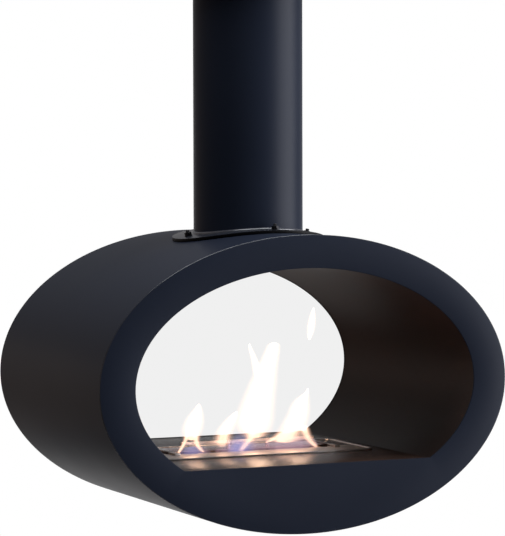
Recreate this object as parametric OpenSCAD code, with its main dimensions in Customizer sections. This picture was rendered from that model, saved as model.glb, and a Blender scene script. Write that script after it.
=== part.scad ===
// Hanging oval fireplace: a see-through steel drum on a round drop pipe, with a
// lift-out liquid-fuel burner in its floor and a sliding lid over the flame slot.
// Millimetres, +Z up, front towards -Y. The origin is the middle of the ceiling face.

/* [Drum] */
// Overall width of the oval drum
drum_w = 900; // [750:10:1080]
// Overall height of the oval drum
drum_h = 600; // [500:10:720]
// Overall depth of the drum, over both face plates
drum_d = 600; // [500:10:720]
// Height of the drum's centre below the ceiling
drum_drop = 900; // [750:10:1300]
// Sheet thickness of the rolled outer shell
shell_t = 2; // [1.5:0.5:3]
// Thickness of the two face plates
face_t = 3; // [2:0.5:4]
// Width of the face plate beside the opening
ring_side = 75; // [62:1:90]
// Width of the face plate over the opening
ring_top = 67; // [60:1:80]
// Height of the sill above the drum's lowest point
sill_rise = 140; // [130:1:160]

/* [Fire tunnel] */
// Sheet thickness of the tunnel's liner
liner_t = 1.5; // [1:0.5:2]
// Step back from the face plate's edge to the liner and to the floor
reveal = 1; // [0.5:0.5:2]
// Sheet thickness of the tunnel's floor
floor_t = 2; // [1.5:0.5:3]
// How far the floor runs on outside the liner at each side
floor_overhang = 45; // [36:1:50]
// Thickness of the fibre blanket round the liner
blanket_t = 25; // [15:1:30]

/* [Frame inside the drum] */
// Thickness of the ribs between shell and liner
rib_t = 3; // [2:0.5:4]
// Space between the hanger plate's edge and each rib
rib_clear = 25; // [15:1:35]
// Leg of the angles under the floor's front and back edges
angle_leg = 20; // [15:1:25]
// Length of each angle
angle_len = 500; // [400:10:520]
// Length of a fixing tab, along the shell
tab_len = 24; // [18:1:28]
// Legs of a fixing tab
tab_leg = 20; // [15:1:24]
// Sheet thickness of angles and tabs
tab_t = 2; // [1.5:0.5:3]

/* [Suspension] */
// Outside diameter of the drop pipe
pipe_d = 230; // [190:5:276]
// Wall of the drop pipe
pipe_wall = 2; // [1.5:0.5:3]
// Distance from the pipe's wall to the stud circle
stud_offset = 20; // [16:1:26]
// Flange metal outside the stud circle
flange_edge = 25; // [18:1:30]
// Thickness of the saddle flange
flange_t = 5.5; // [4:0.5:8]
// Legs of the fillet weld between pipe and flange
weld_leg = 4.5; // [3:0.5:6]
// Thickness of the gasket under the flange
gasket_t = 1.5; // [1:0.5:3]
// Thickness of the hanger plate inside the shell
hanger_t = 5; // [4:0.5:8]
// Stud diameter, metric
stud_d = 8; // [6:1:10]
// Nut width across flats
nut_af = 13; // [10:1:16]
// Nut height
nut_h = 6.5; // [5:0.5:8]
// Washer diameter
washer_d = 16; // [14:1:20]
// Washer thickness
washer_t = 1.6; // [1.2:0.2:2.4]
// Stud end standing out of each nut
stud_tail = 4.5; // [2:0.5:6]

/* [Ceiling fixing] */
// Thickness of the ceiling plate
plate_t = 6; // [5:0.5:10]
// Distance from the pipe's wall to the anchor circle
anchor_offset = 19; // [17:1:26]
// Anchor hole diameter
anchor_hole_d = 11; // [9:0.5:13]
// Plate metal outside the anchor circle
plate_edge = 16; // [12:1:24]
// Height of the socket that the pipe slides over
socket_h = 50; // [40:1:80]
// Wall of the socket
socket_wall = 4; // [3:0.5:6]
// Depth of the rosette that hides the plate
rosette_h = 45; // [42:1:70]
// Sheet thickness of the rosette
rosette_t = 1.5; // [1:0.5:2.5]
// Space between the plate's edge and the rosette's wall
rosette_space = 13.5; // [8:0.5:25]

/* [Burner] */
// Floor left bare between the liner and the tray rim
floor_border = 26.5; // [20:0.5:40]
// Tray size front to back, over the rim
tray_d = 222; // [200:2:260]
// Tray depth below the floor
tray_depth = 70; // [58:1:72]
// Sheet thickness of tray and burner
tray_t = 1.5; // [1:0.5:2]
// Corner radius of the tray rim
tray_r = 26; // [18:1:40]
// Height of the tray rim above the floor
rim_h = 3; // [2:0.5:5]
// Rim overlap on the floor
rim_lap = 6; // [5:0.5:10]
// Bare top plate past the lid's guide at each end
end_land = 46; // [38:1:70]
// Thickness of the burner's top plate
top_t = 2; // [1.5:0.5:3]
// How far the burner box stays inside the guides and the plate's long edges
top_lip = 8; // [5:1:12]
// Width of the flame slot
slot_w = 26; // [20:1:32]
// Middle of the flame slot, in front of the burner's middle
slot_y = 19; // [18:1:24]
// How far the slot stays inside the guides' outer faces
slot_end = 13; // [12:1:30]
// Space over the wool, under the top plate
wool_drop = 19; // [12:1:25]

/* [Sliding lid] */
// Lid size front to back
lid_d = 75; // [66:1:90]
// Lid thickness
lid_t = 2; // [1.5:0.5:3]
// Travel of the lid from open to shut
lid_travel = 45; // [43:1:48]
// Distance between the two handle posts
post_pitch = 90; // [60:1:140]
// Post diameter
post_d = 11; // [8:1:14]
// Height of the posts over the lid
post_h = 12.2; // [10:0.1:20]
// Depth of the handle bar
bar_d = 8; // [7:0.5:12]
// Height of the handle bar
bar_h = 6; // [5:0.5:8]
// How far the bar stays inside the guides' outer faces
bar_end = 35; // [8:1:50]

/* [Hidden] */
$fn = 96;
oval_sides = 180;      // flats round an oval: each strays under 0.1 mm from the curve
fit_gap = 0.2;         // between fixed pieces that are laid together
run_gap = 0.3;         // between pieces that slide on each other
thread_gap = 0.1;      // round a stud in its nut
cut = 1;               // how far a cutting solid runs past what it cuts

// Drum and opening
drum_a = drum_w / 2;
drum_b = drum_h / 2;
open_a = drum_a - ring_side;
open_b = drum_b - ring_top;
sill_z = sill_rise - drum_b;                 // all heights here are from the drum's centre
floor_z = sill_z - reveal;
liner_in = reveal;
liner_out = reveal + liner_t;
inside_d = drum_d - 2 * face_t;              // between the face plates
liner_foot = open_a * sqrt(1 - pow(sill_z / open_b, 2));
floor_half = liner_foot + floor_overhang;
tab_gap = 0.5;                               // between a tab and the shell
tab_angles = [18, 62, 118, 162, 198, 242, 298, 342];

// Suspension
stud_r = pipe_d / 2 + stud_offset;
flange_r = stud_r + flange_edge;
flange_top = gasket_t + flange_t;
stud_hole_d = stud_d + 1;
stud_grip = flange_top + washer_t + nut_h + stud_tail;
rib_y = flange_r + rib_clear;
stud_head_h = 5;
stud_root = shell_t + 2 * fit_gap + hanger_t + stud_head_h;    // under the shell's outside
gasket_inset = 3;                            // gasket edge inside the flange's

// Ceiling fixing
anchor_r = pipe_d / 2 + anchor_offset;
plate_r = anchor_r + plate_edge;
rosette_r = plate_r + rosette_space + rosette_t;
rosette_top = -0.5;                          // the rosette ends just under the ceiling
grip_t = 6;                                  // felt ring, from bore to rim
grip_lap = 3;                                // how far it lies on the rosette
grip_h = 6;
pipe_top_gap = 2;                            // between pipe and ceiling plate
screw_z = -plate_t - socket_h / 2;
screw_d = 6;
screw_end = 1;                               // standing in from the socket
screw_head_d = 10.5;
screw_head_h = 2.2;
screw_key = 4;

// Burner
tray_w = 2 * (liner_foot - floor_border);
well_w = tray_w - 2 * rim_lap;
well_d = tray_d - 2 * rim_lap;
well_r = tray_r - rim_lap;
well_floor = floor_z - tray_depth + tray_t;
top_gap = 2.5;                               // between the top plate and the tray, all round
top_w = well_w - 2 * tray_t - 2 * top_gap;
top_d = well_d - 2 * tray_t - 2 * top_gap;
top_r = well_r - tray_t - top_gap;
deck_w = top_w - 2 * end_land;               // over the outer faces of the lid's guides
top_under = floor_z;
top_z = top_under + top_t;
box_w = deck_w - 2 * top_lip;
box_d = top_d - 2 * top_lip;
slot_l = deck_w - 2 * slot_end;
slot_back = -slot_y + slot_w / 2;
wool_top = top_under - wool_drop;
grid_t = 1;
grid_bars = 9;

// Sliding lid
guide_w = 7;
guide_lap = 5;
guide_t = 1.5;
lid_w = deck_w - 2 * guide_w - 2 * run_gap;
lid_set_back = 3;                            // lid edge behind the open slot
lid_front = slot_back + lid_set_back;
lid_z = top_z + run_gap;
guide_gap = 0.3;
bar_w = deck_w - 2 * bar_end;
post_edge = 2;                               // lid in front of the posts
post_y = lid_front + post_edge + post_d / 2;
post_z = lid_z + lid_t;
handle_screw_d = 4;
handle_screw_reach = 8;                      // into the post
handle_head_d = 6.5;
handle_head_h = 2.5;
handle_key = 3;
guide_stop = 3;                              // each stop at the ends of the lid's travel

steel_black = [0.16, 0.17, 0.20];
steel_dark = [0.12, 0.12, 0.13];
steel_inside = [0.22, 0.20, 0.19];
stainless = [0.75, 0.74, 0.72];
zinc = [0.60, 0.61, 0.62];
fibre = [0.90, 0.88, 0.84];

// ---------- shapes that repeat ----------

// A point of the curve that runs off outside an oval of half axes a and b
function oval_point(a, b, off, t) =
  let (n = [cos(t) / a, sin(t) / b])
  [a * cos(t), b * sin(t)] + off * n / norm(n);

function oval(a, b, off = 0) =
  [for (i = [0 : oval_sides - 1]) oval_point(a, b, off, i * 360 / oval_sides)];

// Everything from here down to the end of upright() is drawn as seen from the front
module drum_outline(off = 0) {
  polygon(oval(drum_a, drum_b, off));
}

// The tunnel's oval, cut flat at a height
module tunnel_outline(off, bottom) {
  intersection() {
    polygon(oval(open_a, open_b, off));
    translate([-drum_a, bottom]) square([2 * drum_a, 2 * drum_b]);
  }
}

// Stands a front view up, middle at y, and drops it to the drum's height
module upright(depth, y = 0) {
  translate([0, y, -drum_drop])
    rotate([90, 0, 0])
      linear_extrude(depth, center = true) children();
}

module at_drum() {
  translate([0, 0, -drum_drop]) children();
}

module rounded_plate(w, d, r) {
  square([w, d - 2 * r], center = true);
  square([w - 2 * r, d], center = true);
  for (x = [-1, 1], y = [-1, 1])
    translate([x * (w / 2 - r), y * (d / 2 - r)]) circle(r);
}

module block(w, d, z0, z1, y = 0) {
  translate([-w / 2, y - d / 2, z0]) cube([w, d, z1 - z0]);
}

// A round slice of a curved sheet that follows the drum's top
module saddle(r, low, high) {
  intersection() {
    upright(2 * r + 2 * cut) difference() {
      drum_outline(high);
      drum_outline(low);
    }
    at_drum() cylinder(r = r, h = drum_b + high + cut);
  }
}

// Puts a piece on each stud's axis, with z = 0 at the shell's outside
module at_studs() {
  side_t = acos(stud_r / drum_a);
  side = oval_point(drum_a, drum_b, 0, side_t);
  lean = atan2(cos(side_t) / drum_a, sin(side_t) / drum_b);
  at_drum() {
    for (s = [-1, 1]) {
      translate([s * side[0], 0, side[1]]) rotate([0, s * lean, 0]) children();
      translate([0, s * stud_r, drum_b]) children();
    }
  }
}

module stud_holes() {
  at_studs() translate([0, 0, -stud_root]) cylinder(d = stud_hole_d, h = stud_root + stud_grip);
}

// ---------- the drum ----------

module outer_shell() {
  color(steel_black) difference() {
    upright(inside_d) difference() {
      drum_outline();
      drum_outline(-shell_t);
    }
    stud_holes();
  }
}

module face_plate(side) {
  color(steel_black) upright(face_t, side * (drum_d - face_t) / 2) difference() {
    drum_outline();
    tunnel_outline(0, sill_z);
  }
}

module front_frame() {
  face_plate(-1);
}

module back_frame() {
  face_plate(1);
}

module inner_liner() {
  color(steel_inside) upright(inside_d - 2 * fit_gap) difference() {
    tunnel_outline(liner_out, floor_z);
    tunnel_outline(liner_in, floor_z - cut);
  }
}

module floor_plate() {
  color(steel_inside) at_drum() difference() {
    block(2 * floor_half, inside_d - 2 * fit_gap, floor_z - floor_t, floor_z);
    translate([0, 0, floor_z - floor_t - cut])
      linear_extrude(floor_t + 2 * cut)
        rounded_plate(well_w + 2 * run_gap, well_d + 2 * run_gap, well_r + run_gap);
  }
}

module rib(side) {
  color(steel_dark) upright(rib_t, side * rib_y) difference() {
    drum_outline(-shell_t - fit_gap);
    tunnel_outline(liner_out + fit_gap, floor_z);
    translate([-floor_half - fit_gap, floor_z - floor_t])
      square([2 * (floor_half + fit_gap), floor_t + fit_gap]);
  }
}

module front_rib() {
  rib(-1);
}

module back_rib() {
  rib(1);
}

module floor_angle(side) {
  color(steel_dark) at_drum() mirror([0, side > 0 ? 1 : 0, 0]) {
    translate([-angle_len / 2, -inside_d / 2 + fit_gap, floor_z - floor_t - tab_t])
      cube([angle_len, angle_leg, tab_t]);
    translate([-angle_len / 2, -inside_d / 2 + fit_gap, floor_z - floor_t - angle_leg])
      cube([angle_len, tab_t, angle_leg]);
  }
}

module front_floor_angle() {
  floor_angle(-1);
}

module back_floor_angle() {
  floor_angle(1);
}

// Fixing tabs, a leg on the shell and a leg on the face plate
module frame_tabs(side) {
  color(zinc) at_drum() mirror([0, side > 0 ? 1 : 0, 0])
    for (t = tab_angles) {
      p = oval_point(drum_a, drum_b, -shell_t - tab_gap, t);
      turn = atan2(sin(t) / drum_b, cos(t) / drum_a);
      translate([p[0], -inside_d / 2 + fit_gap, p[1]]) rotate([0, -turn, 0]) {
        translate([-tab_leg, 0, -tab_len / 2]) cube([tab_leg, tab_t, tab_len]);
        translate([-tab_t, 0, -tab_len / 2]) cube([tab_t, tab_leg, tab_len]);
      }
    }
}

module front_frame_tabs() {
  frame_tabs(-1);
}

module back_frame_tabs() {
  frame_tabs(1);
}

// Three lengths of blanket, before, between and behind the ribs
module insulation_blanket() {
  middle = 2 * rib_y - rib_t - 2 * fit_gap;
  end = inside_d / 2 - rib_y - rib_t / 2 - 2 * fit_gap - tab_t;
  end_y = rib_y + rib_t / 2 + fit_gap + end / 2;
  color(fibre)
    for (piece = [[middle, 0], [end, end_y], [end, -end_y]])
      upright(piece[0], piece[1]) difference() {
        tunnel_outline(liner_out + fit_gap + blanket_t, floor_z + fit_gap);
        tunnel_outline(liner_out + fit_gap, floor_z - cut);
      }
}

// ---------- the suspension ----------

module hanger_plate() {
  color(steel_dark) difference() {
    saddle(flange_r, -shell_t - fit_gap - hanger_t, -shell_t - fit_gap);
    stud_holes();
  }
}

module flange_gasket() {
  color([0.05, 0.05, 0.05]) difference() {
    saddle(flange_r - gasket_inset, 0, gasket_t);
    stud_holes();
  }
}

module saddle_flange() {
  color(steel_black) difference() {
    saddle(flange_r, gasket_t, flange_top);
    stud_holes();
  }
}

// Studs with a flat head under the hanger plate
module flange_studs() {
  color(steel_dark) at_studs() translate([0, 0, -stud_root]) {
    cylinder(d = stud_d, h = stud_root + stud_grip);
    cylinder(d = nut_af, h = stud_head_h);
  }
}

module flange_washers() {
  color(steel_dark) at_studs() translate([0, 0, flange_top]) difference() {
    cylinder(d = washer_d, h = washer_t);
    translate([0, 0, -cut]) cylinder(d = stud_d + 2 * thread_gap, h = washer_t + 2 * cut);
  }
}

module flange_nuts() {
  color(steel_dark) at_studs() translate([0, 0, flange_top + washer_t]) difference() {
    cylinder(d = nut_af / cos(30), h = nut_h, $fn = 6);
    translate([0, 0, -cut]) cylinder(d = stud_d + 2 * thread_gap, h = nut_h + 2 * cut);
  }
}

module drop_pipe() {
  pipe_top = -plate_t - pipe_top_gap;
  pipe_low = -drum_drop + drum_b / 2;
  color(steel_black) difference() {
    translate([0, 0, pipe_low]) cylinder(d = pipe_d, h = pipe_top - pipe_low);
    translate([0, 0, pipe_low - cut])
      cylinder(d = pipe_d - 2 * pipe_wall, h = pipe_top - pipe_low + 2 * cut);
    upright(pipe_d + 2 * cut) drum_outline(flange_top);
    pipe_screw_bores();
  }
}

// The weld bead round the pipe's foot, as a band with square edges
module foot_weld() {
  color(steel_black) difference() {
    saddle(pipe_d / 2 + weld_leg, flange_top, flange_top + weld_leg);
    at_drum() cylinder(d = pipe_d, h = drum_b + flange_top + weld_leg + cut);
  }
}

// Puts a piece on each of the four radial screws, with z = 0 at the pipe's outside
module at_pipe_screws() {
  for (a = [45 : 90 : 315])
    rotate([0, 0, a]) translate([pipe_d / 2, 0, screw_z]) rotate([0, 90, 0]) children();
}

module pipe_screw_bores() {
  at_pipe_screws() translate([0, 0, -2 * socket_wall - pipe_wall])
    cylinder(d = screw_d + 2 * thread_gap, h = 2 * socket_wall + pipe_wall + cut);
}

module ceiling_plate() {
  color(steel_dark) translate([0, 0, -plate_t]) difference() {
    cylinder(r = plate_r, h = plate_t);
    for (a = [0 : 90 : 270])
      rotate([0, 0, a]) translate([anchor_r, 0, -cut])
        cylinder(d = anchor_hole_d, h = plate_t + 2 * cut);
  }
}

module pipe_socket() {
  socket_r = pipe_d / 2 - pipe_wall - fit_gap;
  color(steel_dark) difference() {
    translate([0, 0, -plate_t - socket_h]) cylinder(r = socket_r, h = socket_h);
    translate([0, 0, -plate_t - socket_h - cut])
      cylinder(r = socket_r - socket_wall, h = socket_h + 2 * cut);
    pipe_screw_bores();
  }
}

module pipe_screws() {
  color(zinc) at_pipe_screws() {
    translate([0, 0, -pipe_wall - socket_wall - screw_end])
      cylinder(d = screw_d, h = pipe_wall + socket_wall + screw_end + screw_head_h / 2);
    difference() {
      cylinder(d = screw_head_d, h = screw_head_h);
      translate([0, 0, screw_head_h / 2]) cylinder(d = screw_key, h = screw_head_h, $fn = 6);
    }
  }
}

module ceiling_rosette() {
  hole_r = pipe_d / 2 + run_gap + grip_t - grip_lap;
  color(steel_black) translate([0, 0, rosette_top - rosette_h]) difference() {
    cylinder(r = rosette_r, h = rosette_h);
    translate([0, 0, rosette_t]) cylinder(r = rosette_r - rosette_t, h = rosette_h);
    translate([0, 0, -cut]) cylinder(r = hole_r, h = rosette_h);
  }
}

// A felt ring that lies in the rosette and holds it on the pipe
module rosette_grip_ring() {
  in_r = pipe_d / 2 + run_gap;
  color([0.07, 0.07, 0.07]) translate([0, 0, rosette_top - rosette_h + rosette_t]) difference() {
    cylinder(r = in_r + grip_t, h = grip_h);
    translate([0, 0, -cut]) cylinder(r = in_r, h = grip_h + 2 * cut);
  }
}

// ---------- the burner ----------

module burner_tray() {
  color(stainless) at_drum() difference() {
    union() {
      translate([0, 0, floor_z]) linear_extrude(rim_h) rounded_plate(tray_w, tray_d, tray_r);
      translate([0, 0, floor_z - tray_depth])
        linear_extrude(tray_depth + rim_h / 2) rounded_plate(well_w, well_d, well_r);
    }
    translate([0, 0, well_floor]) linear_extrude(tray_depth + rim_h)
      rounded_plate(well_w - 2 * tray_t, well_d - 2 * tray_t, well_r - tray_t);
  }
}

module burner_box() {
  color(stainless) at_drum() difference() {
    block(box_w, box_d, well_floor + run_gap, top_under);
    block(box_w - 2 * tray_t, box_d - 2 * tray_t, well_floor + run_gap + tray_t, top_under + cut);
  }
}

module burner_top() {
  color(stainless) at_drum() difference() {
    translate([0, 0, top_under]) linear_extrude(top_t) rounded_plate(top_w, top_d, top_r);
    block(slot_l, slot_w, top_under - cut, top_z + cut, -slot_y);
  }
}

module ceramic_wool() {
  color(fibre) at_drum()
    block(box_w - 2 * tray_t - 2 * fit_gap, box_d - 2 * tray_t - 2 * fit_gap,
          well_floor + run_gap + tray_t, wool_top - grid_t);
}

// A plate with a row of windows that keeps the wool down under the slot
module wool_grid() {
  grid_w = box_w - 2 * tray_t - 2 * fit_gap;
  pitch = slot_l / grid_bars;
  bar = 4;
  color(stainless) at_drum() difference() {
    block(grid_w, box_d - 2 * tray_t - 2 * fit_gap, wool_top - grid_t, wool_top);
    for (i = [0 : grid_bars - 1])
      translate([(i - (grid_bars - 1) / 2) * pitch, 0, 0])
        block(pitch - bar, slot_w, wool_top - grid_t - cut, wool_top + cut, -slot_y);
  }
}

// ---------- the sliding lid ----------

// Strips at both ends of the lid, each with a lip over it and a stop at each end of the travel
module lid_guides() {
  rail_front = lid_front - lid_travel - run_gap - guide_stop;
  rail_back = lid_front + lid_d + run_gap + guide_stop;
  rail_len = rail_back - rail_front;
  rail_h = run_gap + lid_t + guide_gap;
  color(stainless) at_drum() for (s = [0, 1]) mirror([s, 0, 0]) {
    translate([lid_w / 2 + run_gap, rail_front, top_z])
      cube([guide_w, rail_len, rail_h + guide_t]);
    translate([lid_w / 2 - guide_lap, rail_front, top_z + rail_h])
      cube([guide_lap + guide_w / 2, rail_len, guide_t]);
    for (y = [rail_front, rail_back - guide_stop])
      translate([lid_w / 2 - guide_lap, y, top_z])
        cube([guide_lap + guide_w / 2, guide_stop, rail_h + guide_t / 2]);
  }
}

module damper_lid() {
  color(stainless) at_drum() translate([-lid_w / 2, lid_front, lid_z]) cube([lid_w, lid_d, lid_t]);
}

module at_posts() {
  at_drum() for (s = [-1, 1]) translate([s * post_pitch / 2, post_y, post_z]) children();
}

module handle_posts() {
  color(stainless) at_posts() difference() {
    cylinder(d = post_d, h = post_h);
    translate([0, 0, cut]) cylinder(d = handle_screw_d + 2 * thread_gap, h = post_h);
  }
}

module handle_bar() {
  seat = post_z + post_h;
  color(stainless) difference() {
    at_drum() translate([0, post_y, seat]) linear_extrude(bar_h) {
      square([bar_w - bar_d, bar_d], center = true);
      for (s = [-1, 1]) translate([s * (bar_w - bar_d) / 2, 0]) circle(d = bar_d);
    }
    at_posts() translate([0, 0, post_h - cut])
      cylinder(d = handle_screw_d + 2 * thread_gap, h = bar_h + 2 * cut);
  }
}

// Cap screws down through the bar into the posts
module handle_screws() {
  color(zinc) at_posts() {
    translate([0, 0, post_h - handle_screw_reach])
      cylinder(d = handle_screw_d, h = handle_screw_reach + bar_h + handle_head_h / 2);
    translate([0, 0, post_h + bar_h]) difference() {
      cylinder(d = handle_head_d, h = handle_head_h);
      translate([0, 0, handle_head_h / 2]) cylinder(d = handle_key, h = handle_head_h, $fn = 6);
    }
  }
}

outer_shell();
front_frame();
back_frame();
inner_liner();
floor_plate();
front_rib();
back_rib();
front_floor_angle();
back_floor_angle();
front_frame_tabs();
back_frame_tabs();
insulation_blanket();
hanger_plate();
flange_gasket();
saddle_flange();
flange_studs();
flange_washers();
flange_nuts();
drop_pipe();
foot_weld();
ceiling_plate();
pipe_socket();
pipe_screws();
ceiling_rosette();
rosette_grip_ring();
burner_tray();
burner_box();
burner_top();
ceramic_wool();
wool_grid();
lid_guides();
damper_lid();
handle_posts();
handle_bar();
handle_screws();
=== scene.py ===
import math
from contextlib import contextmanager

import bmesh
import bpy
from mathutils import Matrix, Vector


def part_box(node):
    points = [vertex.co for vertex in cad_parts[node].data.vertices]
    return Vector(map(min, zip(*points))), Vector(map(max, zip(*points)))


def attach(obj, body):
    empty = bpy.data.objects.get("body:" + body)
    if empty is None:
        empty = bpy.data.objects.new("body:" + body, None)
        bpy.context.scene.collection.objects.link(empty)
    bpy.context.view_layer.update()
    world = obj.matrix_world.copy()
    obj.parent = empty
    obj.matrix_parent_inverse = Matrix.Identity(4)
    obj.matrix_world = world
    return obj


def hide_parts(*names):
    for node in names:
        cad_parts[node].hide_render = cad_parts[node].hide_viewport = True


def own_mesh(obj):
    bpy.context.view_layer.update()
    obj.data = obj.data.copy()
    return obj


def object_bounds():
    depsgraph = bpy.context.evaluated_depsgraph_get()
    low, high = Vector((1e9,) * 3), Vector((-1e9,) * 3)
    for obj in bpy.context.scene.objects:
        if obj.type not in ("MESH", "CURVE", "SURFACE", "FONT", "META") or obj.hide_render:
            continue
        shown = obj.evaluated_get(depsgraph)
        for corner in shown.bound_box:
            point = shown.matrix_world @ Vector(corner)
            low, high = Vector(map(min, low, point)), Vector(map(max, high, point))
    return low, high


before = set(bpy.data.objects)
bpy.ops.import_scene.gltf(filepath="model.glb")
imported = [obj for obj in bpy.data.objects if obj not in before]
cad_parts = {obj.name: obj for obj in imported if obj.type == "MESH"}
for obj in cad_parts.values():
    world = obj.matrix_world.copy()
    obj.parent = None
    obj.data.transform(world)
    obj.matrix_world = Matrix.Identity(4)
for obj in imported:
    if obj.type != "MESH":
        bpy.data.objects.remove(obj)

cad_low, cad_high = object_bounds()

# ---------- sizes, in metres ----------

MM = 0.001

# The drum, from the frame
face_low, face_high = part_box("front_frame")
HALF_W = face_high.x
HALF_H = (face_high.z - face_low.z) / 2
DRUM_Z = (face_high.z + face_low.z) / 2
MIDDLE = (0, 0, DRUM_Z)
FRONT_Y = face_low.y
BACK_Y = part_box("back_frame")[1].y
FACE_T = face_high.y - face_low.y
SHELL_T = 2 * MM
SHELL_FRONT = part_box("outer_shell")[0].y
SHELL_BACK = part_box("outer_shell")[1].y
FIT_GAP = 0.2 * MM

# The opening, its sill and the tunnel behind it
RING_SIDE = 75 * MM
RING_TOP = 67 * MM
OPEN_W = HALF_W - RING_SIDE
OPEN_H = HALF_H - RING_TOP
REVEAL = 1 * MM
LINER_T = 1.5 * MM
FLOOR_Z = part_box("floor_plate")[1].z
SILL_Z = FLOOR_Z + REVEAL

# The suspension
PIPE_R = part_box("drop_pipe")[1].x
PIPE_WALL = 2 * MM
PIPE_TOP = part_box("drop_pipe")[1].z
FLANGE_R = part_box("saddle_flange")[1].x
GASKET_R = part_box("flange_gasket")[1].x
GASKET_T = 1.5 * MM
FLANGE_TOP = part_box("saddle_flange")[1].z - DRUM_Z - HALF_H
WELD_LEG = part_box("foot_weld")[1].x - PIPE_R
STUD_RING = PIPE_R + 20 * MM
STUD_R = 4 * MM
WASHER_R = 8 * MM
WASHER_T = 1.6 * MM
NUT_ACROSS = 13 * MM
NUT_H = 6.5 * MM
STUD_TAIL = 4.5 * MM
STUD_ROOT = 12.4 * MM  # how far a stud reaches in under the shell's outside
STUD_HEAD_H = 5 * MM
STUD_BORE = STUD_R + 0.1 * MM
THREAD_START = -2 * MM
THREAD_PITCH = 1.25 * MM
ROSETTE_SHEET = 1.5 * MM
ROSETTE_ROLL = 5 * MM
ROSETTE_HOLE = PIPE_R + 3.3 * MM

# The burner, from the frame
top_low, top_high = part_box("burner_top")
SLOT_TOP = top_high.z
PLATE_CORNER = 16 * MM
GUIDE_TO_SLOT = 13 * MM  # from a guide strip's outer side in to the slot's end
SLOT_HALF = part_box("lid_guides")[1].x - GUIDE_TO_SLOT
SLOT_FRONT = -32 * MM
SLOT_BACK = -6 * MM
SLOT_Y = (SLOT_FRONT + SLOT_BACK) / 2
SLOT_LIP = 6 * MM

# Sides of round shapes
OVAL_SIDES = 240
ROUND_SIDES = 160
STUD_SIDES = 24
BORE_SIDES = 32
WASHER_SIDES = 40
TURNED_SIDES = 48

# A quarter circle in steps of 15 degrees
QUARTER_ARC = [math.radians(angle) for angle in range(0, 91, 15)]

# How far a cutting shape reaches past what it cuts
MARGIN = 10 * MM

# ---------- modelling ----------


def select_only(obj):
    """Leaves obj alone selected and active, in object mode."""
    if bpy.context.mode != "OBJECT":
        bpy.ops.object.mode_set(mode="OBJECT")
    bpy.ops.object.select_all(action="DESELECT")
    obj.select_set(True)
    bpy.context.view_layer.objects.active = obj


@contextmanager
def editing(obj):
    """Edit mode on obj, with all of it selected."""
    select_only(obj)
    bpy.ops.object.mode_set(mode="EDIT")
    bpy.ops.mesh.select_mode(type="VERT")
    bpy.ops.mesh.select_all(action="SELECT")
    yield
    bpy.ops.object.mode_set(mode="OBJECT")


def pick(obj, kind, test):
    """In edit mode, selects the vertices, edges or faces that pass the test."""
    bpy.ops.mesh.select_mode(type=kind)
    bpy.ops.mesh.select_all(action="DESELECT")
    mesh = bmesh.from_edit_mesh(obj.data)
    parts = {"VERT": mesh.verts, "EDGE": mesh.edges, "FACE": mesh.faces}[kind]
    for part in parts:
        if test(part):
            part.select_set(True)
    bmesh.update_edit_mesh(obj.data)


def added(name):
    """The primitive that was just added, under its name and with its place in its mesh."""
    obj = bpy.context.object
    obj.name = obj.data.name = name
    bpy.ops.object.transform_apply(location=True, rotation=True, scale=True)
    return obj


def modify(obj, kind, **settings):
    """Puts a modifier on obj and applies it."""
    select_only(obj)
    modifier = obj.modifiers.new(kind.lower(), kind)
    for key, value in settings.items():
        setattr(modifier, key, value)
    bpy.ops.object.modifier_apply(modifier=modifier.name)
    return obj


def combine(obj, tool, operation):
    """Cuts obj with a closed tool, or keeps what both hold, and takes the tool away."""
    modify(obj, "BOOLEAN", object=tool, operation=operation, solver="EXACT")
    bpy.data.objects.remove(tool, do_unlink=True)
    return obj


def soften(obj, width, segments=3, angle=35):
    """Rounds the sharp edges and shades what is left smooth."""
    modify(
        obj,
        "BEVEL",
        width=width,
        segments=segments,
        limit_method="ANGLE",
        angle_limit=math.radians(angle),
        use_clamp_overlap=True,
    )
    return smooth(obj, angle)


def smooth(obj, angle):
    """Shades smooth, with edges sharper than the angle left crisp."""
    select_only(obj)
    bpy.ops.object.shade_smooth_by_angle(angle=math.radians(angle))
    return obj


def clean(obj):
    """Merges doubles and turns the faces outwards."""
    with editing(obj):
        bpy.ops.mesh.remove_doubles(threshold=0.01 * MM)
        bpy.ops.mesh.normals_make_consistent(inside=False)


def joined(name, objects):
    """One piece out of several objects."""
    select_only(objects[0])
    for obj in objects:
        obj.select_set(True)
    if len(objects) > 1:
        bpy.ops.object.join()
    obj = bpy.context.object
    obj.name = obj.data.name = name
    return obj


def copied(obj, matrix):
    """A copy with its own mesh, moved by a matrix that goes into the mesh."""
    twin = obj.copy()
    twin.data = obj.data.copy()
    twin.data.transform(matrix)
    bpy.context.scene.collection.objects.link(twin)
    return twin


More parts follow.
